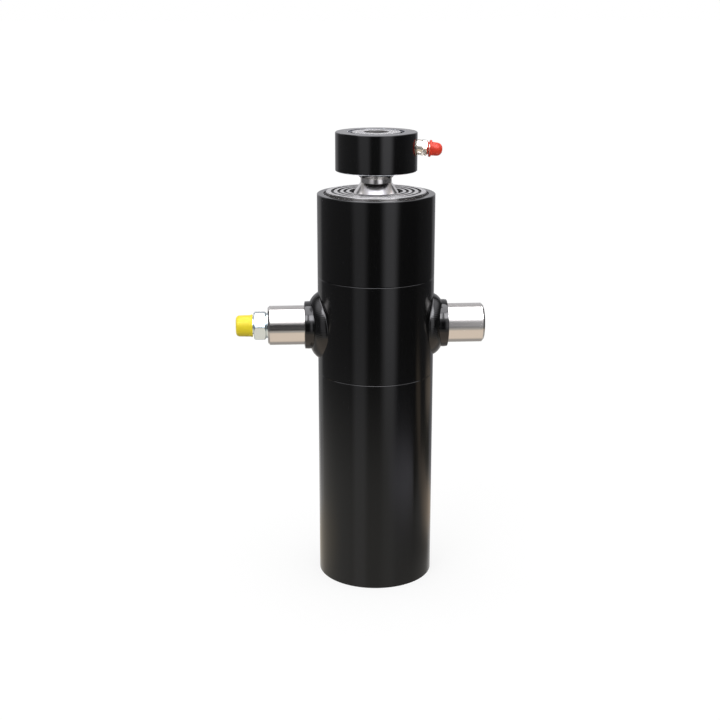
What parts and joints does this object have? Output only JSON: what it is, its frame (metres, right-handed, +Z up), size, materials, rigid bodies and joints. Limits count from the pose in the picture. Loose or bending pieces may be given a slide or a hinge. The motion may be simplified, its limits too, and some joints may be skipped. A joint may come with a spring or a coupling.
{
  "type": "telescopic hydraulic tipping cylinder",
  "caption": "Upright telescopic hydraulic cylinder with side trunnions, nested stages, an oil inlet through one trunnion and a ball-jointed round head for lifting a tipping body.",
  "frame": {"origin": "centre of the barrel's base face, on the cylinder's axis", "axes": "+Z up the cylinder's axis towards the head, +X along the right trunnion, away from the oil inlet"},
  "size_m": [0.3166, 0.148, 0.5795],
  "materials": {
    "black_paint": "gloss black paint",
    "machined_steel": "turned, bare",
    "polished_steel": "ground and polished",
    "zinc_plate": "bright zinc plate",
    "spring_steel": "blackened",
    "bearing_bronze": "turned",
    "seal_rubber": "matte",
    "yellow_plastic": "soft moulded",
    "red_plastic": "soft moulded"
  },
  "bodies": {
    "barrel": {"base_plate": "black_paint", "lower_barrel_tube": "black_paint", "trunnion_ring": "black_paint", "upper_barrel_tube": "black_paint", "barrel_gland_bearing": "bearing_bronze", "barrel_rod_seal": "seal_rubber", "barrel_wiper": "seal_rubber", "trunnion_left": "machined_steel", "trunnion_right": "machined_steel", "trunnion_weld_left": "black_paint", "trunnion_weld_right": "black_paint", "adapter_washer": "zinc_plate", "inlet_adapter": "zinc_plate"},
    "stage_1": {"stage_1_tube": "polished_steel", "stage_1_guide_ring": "bearing_bronze", "stage_1_stop_ring": "spring_steel", "stage_1_foot_ring": "spring_steel", "stage_1_gland_bearing": "bearing_bronze", "stage_1_rod_seal": "seal_rubber", "stage_1_wiper": "seal_rubber"},
    "stage_2": {"stage_2_tube": "polished_steel", "stage_2_guide_ring": "bearing_bronze", "stage_2_stop_ring": "spring_steel", "stage_2_foot_ring": "spring_steel", "stage_2_gland_bearing": "bearing_bronze", "stage_2_rod_seal": "seal_rubber", "stage_2_wiper": "seal_rubber"},
    "stage_3": {"stage_3_tube": "polished_steel", "stage_3_guide_ring": "bearing_bronze", "stage_3_stop_ring": "spring_steel", "stage_3_foot_ring": "spring_steel", "stage_3_gland_bearing": "bearing_bronze", "stage_3_rod_seal": "seal_rubber", "stage_3_wiper": "seal_rubber"},
    "stage_4": {"stage_4_tube": "polished_steel", "stage_4_guide_ring": "bearing_bronze", "stage_4_stop_ring": "spring_steel", "stage_4_foot_ring": "spring_steel", "stage_4_gland_bearing": "bearing_bronze", "stage_4_rod_seal": "seal_rubber", "stage_4_wiper": "seal_rubber"},
    "plunger_foot": {"plunger_guide_ring": "bearing_bronze", "plunger_stop_ring": "spring_steel"},
    "plunger": {"plunger_tube": "polished_steel", "plunger_foot_plug": "machined_steel", "ball_stud": "polished_steel"},
    "head": {"socket_housing": "black_paint", "ball_seat_halves": "machined_steel", "thrust_cap": "machined_steel", "circlip": "spring_steel", "grease_nipple": "zinc_plate"},
    "inlet_cap": {"inlet_cap": "yellow_plastic"},
    "nipple_cap": {"nipple_cap": "red_plastic"}
  },
  "joints": [
    {"name": "stage_1_slide", "type": "slide", "parent": "barrel", "child": "stage_1", "axis": [0, 0, 1], "range_m": [0, 0.3993]},
    {"name": "stage_2_slide", "type": "slide", "parent": "stage_1", "child": "stage_2", "axis": [0, 0, 1], "range_m": [0, 0.3968]},
    {"name": "stage_3_slide", "type": "slide", "parent": "stage_2", "child": "stage_3", "axis": [0, 0, 1], "range_m": [0, 0.3918]},
    {"name": "stage_4_slide", "type": "slide", "parent": "stage_3", "child": "stage_4", "axis": [0, 0, 1], "range_m": [0, 0.3868]},
    {"name": "plunger_slide", "type": "slide", "parent": "stage_4", "child": "plunger_foot", "axis": [0, 0, 1], "range_m": [0, 0.3818]},
    {"name": "plunger_spin", "type": "hinge", "parent": "plunger_foot", "child": "plunger", "pos_m": [0, 0, 0.5], "axis": [0, 0, 1], "continuous": true},
    {"name": "head_tilt", "type": "hinge", "parent": "plunger", "child": "head", "pos_m": [0, 0, 0.54548], "axis": [1, 0, 0], "range_deg": [-15, 15]},
    {"name": "inlet_cap_pull", "type": "slide", "parent": "barrel", "child": "inlet_cap", "axis": [-1, 0, 0], "range_m": [0, 0.03]},
    {"name": "nipple_cap_pull", "type": "slide", "parent": "head", "child": "nipple_cap", "axis": [0.9925, 0, -0.1219], "range_m": [0, 0.02]}
  ]
}
